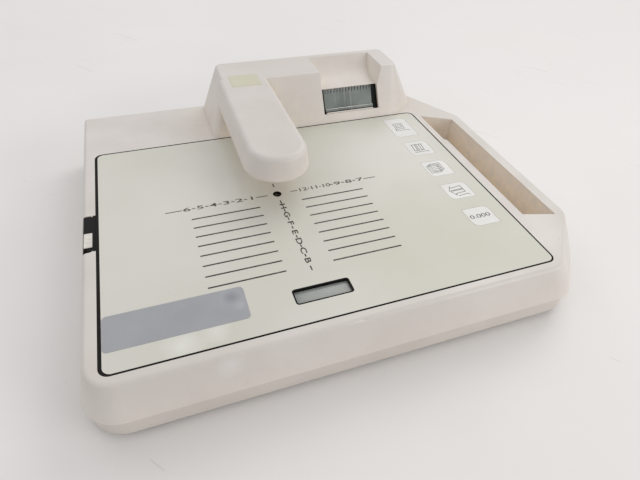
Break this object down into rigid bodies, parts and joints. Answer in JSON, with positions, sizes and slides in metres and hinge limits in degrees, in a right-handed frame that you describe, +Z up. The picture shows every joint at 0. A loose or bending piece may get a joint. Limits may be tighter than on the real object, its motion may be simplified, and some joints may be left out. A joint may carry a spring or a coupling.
{
  "type": "microplate reader",
  "caption": "Flat bench reader with a printed work panel, a short arm over a measuring hole, touch keys, a small display, a strip printer, a pull-out filter slide and a storage trough",
  "frame": {"origin": "middle of the bounding box on the bench, under the feet", "axes": "+X to the instrument's right, +Y to its back, +Z up"},
  "size_m": [0.3344, 0.2734, 0.0796],
  "materials": {
    "housing": "pale warm grey moulded plastic, satin",
    "panel": "printed foil over a flat plate, satin",
    "keys": "near white satin keys with line pictograms",
    "seal": "black strip",
    "black": "black moulded plastic, slight sheen",
    "metal": "plain steel",
    "aluminium": "machined",
    "glass": "clear",
    "filter": "coloured glass discs",
    "mirror": "front silvered",
    "board": "green circuit board",
    "chip": "black packages and cans",
    "coil": "varnished copper winding",
    "roller": "grey black rubber roller on a steel shaft",
    "gear": "cream plastic gears",
    "paper": "paper roll",
    "label": "bare paper labels",
    "sticker": "bare grey foil sticker"
  },
  "bodies": {
    "housing_body": {"upper_housing": "housing", "base_tray": "housing", "arm_cover": "housing", "detector_barrel": "housing", "work_panel": "panel", "panel_seal": "seal", "rubber_feet": "seal", "dome_mat": "seal", "window_frame": "black", "printer_frame": "black", "mains_inlet": "black", "switch_frame": "black", "fuse_holder": "black", "display_module": "black", "measuring_bush": "black", "print_head": "black", "filter_guide": "black", "tray_screws": "metal", "cover_screws": "metal", "board_screws": "metal", "tear_bar": "metal", "rear_plate": "metal", "inlet_pins": "metal", "serial_connector": "metal", "roll_spindle": "metal", "printer_motor": "metal", "transformer_core": "metal", "photodiode": "metal", "optics_block": "aluminium", "lamp_holder": "aluminium", "measuring_lens": "glass", "detector_lens": "glass", "condenser_lens": "glass", "lamp": "glass", "display_window": "glass", "mirror": "mirror", "keypad_board": "board", "detector_board": "board", "main_board": "board", "chips": "chip", "capacitors": "chip", "transformer_coil": "coil", "arm_label": "label", "foil_sticker": "sticker"},
    "slide": {"filter_slide": "black", "filters": "filter", "filter_label": "label"},
    "rocker": {"power_rocker": "black"},
    "platen": {"platen_roller": "roller", "platen_gear": "gear"},
    "pinion": {"motor_pinion": "gear"},
    "roll": {"paper_roll": "paper"},
    "zero_key_pad": {"zero_key": "keys"},
    "print_key_pad": {"print_key": "keys"},
    "stack_key_pad": {"stack_key": "keys"},
    "columns_key_pad": {"columns_key": "keys"},
    "plate_key_pad": {"plate_key": "keys"}
  },
  "joints": [
    {"name": "filter_slide_pull", "type": "slide", "parent": "housing_body", "child": "slide", "axis": [-1, 0, 0], "range_m": [0, 0.066]},
    {"name": "zero_key_press", "type": "slide", "parent": "housing_body", "child": "zero_key_pad", "axis": [0, 0, -1], "range_m": [0, 0.0004], "stiffness_N_per_m": 500, "springref_m": -0.0004},
    {"name": "print_key_press", "type": "slide", "parent": "housing_body", "child": "print_key_pad", "axis": [0, 0, -1], "range_m": [0, 0.0004], "stiffness_N_per_m": 500, "springref_m": -0.0004},
    {"name": "stack_key_press", "type": "slide", "parent": "housing_body", "child": "stack_key_pad", "axis": [0, 0, -1], "range_m": [0, 0.0004], "stiffness_N_per_m": 500, "springref_m": -0.0004},
    {"name": "columns_key_press", "type": "slide", "parent": "housing_body", "child": "columns_key_pad", "axis": [0, 0, -1], "range_m": [0, 0.0004], "stiffness_N_per_m": 500, "springref_m": -0.0004},
    {"name": "plate_key_press", "type": "slide", "parent": "housing_body", "child": "plate_key_pad", "axis": [0, 0, -1], "range_m": [0, 0.0004], "stiffness_N_per_m": 500, "springref_m": -0.0004},
    {"name": "power_switch", "type": "hinge", "parent": "housing_body", "child": "rocker", "pos_m": [0.0025, 0.1322, 0.061], "axis": [1, 0, 0], "range_deg": [0, 20]},
    {"name": "platen_turn", "type": "hinge", "parent": "housing_body", "child": "platen", "pos_m": [0.0628, 0.09774, 0.05376], "axis": [1, 0, 0], "continuous": true},
    {"name": "motor_turn", "type": "hinge", "parent": "housing_body", "child": "pinion", "pos_m": [0.0628, 0.10719, 0.04852], "axis": [1, 0, 0], "continuous": true},
    {"name": "paper_roll_turn", "type": "hinge", "parent": "housing_body", "child": "roll", "pos_m": [0.0628, 0.1177, 0.021], "axis": [1, 0, 0], "continuous": true}
  ],
  "couplings": [
    {"joint": "motor_turn", "follows": "platen_turn", "ratio": -2}
  ]
}
